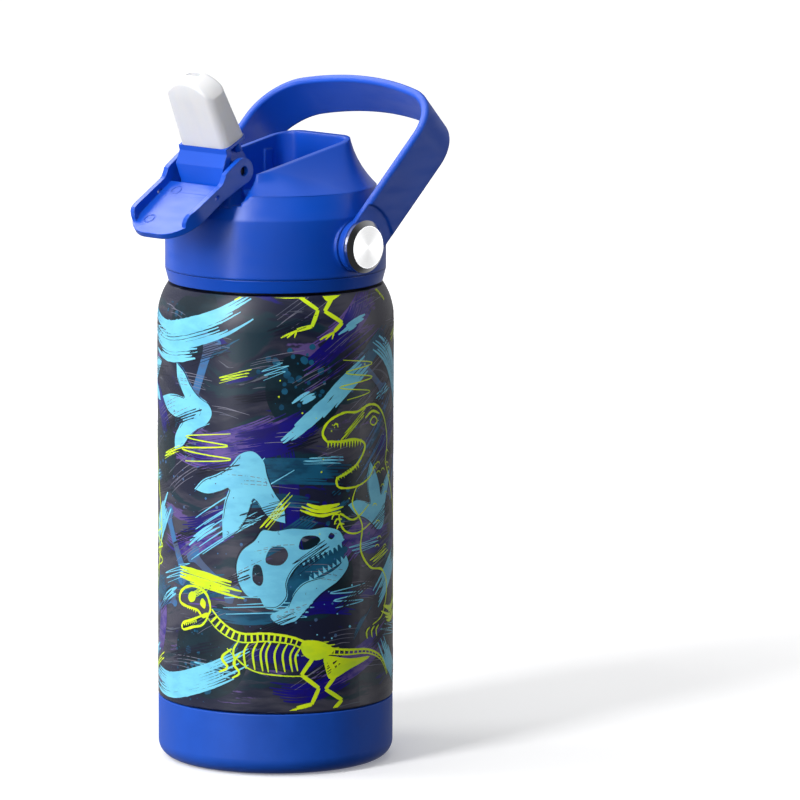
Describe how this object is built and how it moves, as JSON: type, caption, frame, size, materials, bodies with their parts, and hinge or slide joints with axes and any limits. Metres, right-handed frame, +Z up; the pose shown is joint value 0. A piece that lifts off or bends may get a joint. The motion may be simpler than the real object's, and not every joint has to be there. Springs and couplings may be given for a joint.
{
  "type": "kids water bottle",
  "caption": "Insulated kids drinking bottle with a screw lid, a folding spout under a flip cover, a swinging strap handle and a rubber boot round its base.",
  "frame": {"origin": "centre of the flat base, on the surface that the bottle stands on", "axes": "+Z up; the spout and its cover fold out over -Y; the handle's pivot axis runs along X"},
  "size_m": [0.0798, 0.1025, 0.216],
  "materials": {
    "printed_steel": "fine-grained matt powder coat with an all-over print",
    "bare_steel": "satin stainless steel",
    "brushed_cap": "spun-brushed face with a polished bevel",
    "boot_silicone": "matt royal blue silicone",
    "lid_plastic": "satin royal blue moulded plastic",
    "handle_plastic": "satin royal blue moulded plastic",
    "frosted_silicone": "frosted translucent silicone",
    "clear_silicone": "translucent white silicone",
    "straw_plastic": "frosted translucent plastic",
    "washer_nylon": "natural nylon"
  },
  "bodies": {
    "bottle": {"outer_shell": "printed_steel", "inner_liner": "bare_steel", "base_plate": "bare_steel", "vacuum_getter": "bare_steel", "base_boot": "boot_silicone"},
    "seal_ring": {"lid_seal": "clear_silicone"},
    "lid": {"lid_shell": "lid_plastic", "lid_base": "lid_plastic", "port_seal": "clear_silicone", "vent_valve": "clear_silicone", "straw_connector": "clear_silicone", "straw": "straw_plastic", "hinge_pin_left": "bare_steel", "hinge_pin_right": "bare_steel", "pivot_screw_left": "bare_steel", "pivot_screw_right": "bare_steel", "pivot_washer_left": "washer_nylon", "pivot_washer_right": "washer_nylon", "rivet_cap_left": "brushed_cap", "rivet_cap_right": "brushed_cap"},
    "handle": {"handle_strap": "handle_plastic"},
    "cover": {"flip_cover": "lid_plastic"},
    "spout": {"spout_block": "lid_plastic", "mouthpiece": "frosted_silicone"}
  },
  "joints": [
    {"name": "lid_rise", "type": "slide", "parent": "bottle", "child": "seal_ring", "axis": [0, 0, 1], "range_m": [0, 0.00801]},
    {"name": "lid_turn", "type": "hinge", "parent": "seal_ring", "child": "lid", "pos_m": [0, 0, 0.16], "axis": [0, 0, 1], "range_deg": [0, 720]},
    {"name": "handle_swing", "type": "hinge", "parent": "lid", "child": "handle", "pos_m": [0, 0, 0.1627], "axis": [1, 0, 0], "range_deg": [-58, 50]},
    {"name": "cover_flip", "type": "hinge", "parent": "lid", "child": "cover", "pos_m": [0, -0.027, 0.186], "axis": [-1, 0, 0], "range_deg": [0, 203]},
    {"name": "spout_fold", "type": "hinge", "parent": "lid", "child": "spout", "pos_m": [0, -0.027, 0.186], "axis": [-1, 0, 0], "range_deg": [0, 116.3]}
  ],
  "couplings": [
    {"joint": "lid_rise", "follows": "lid_turn", "m_per_rad": 0.00063662},
    {"joint": "spout_fold", "follows": "cover_flip", "ratio": 0.5729}
  ]
}
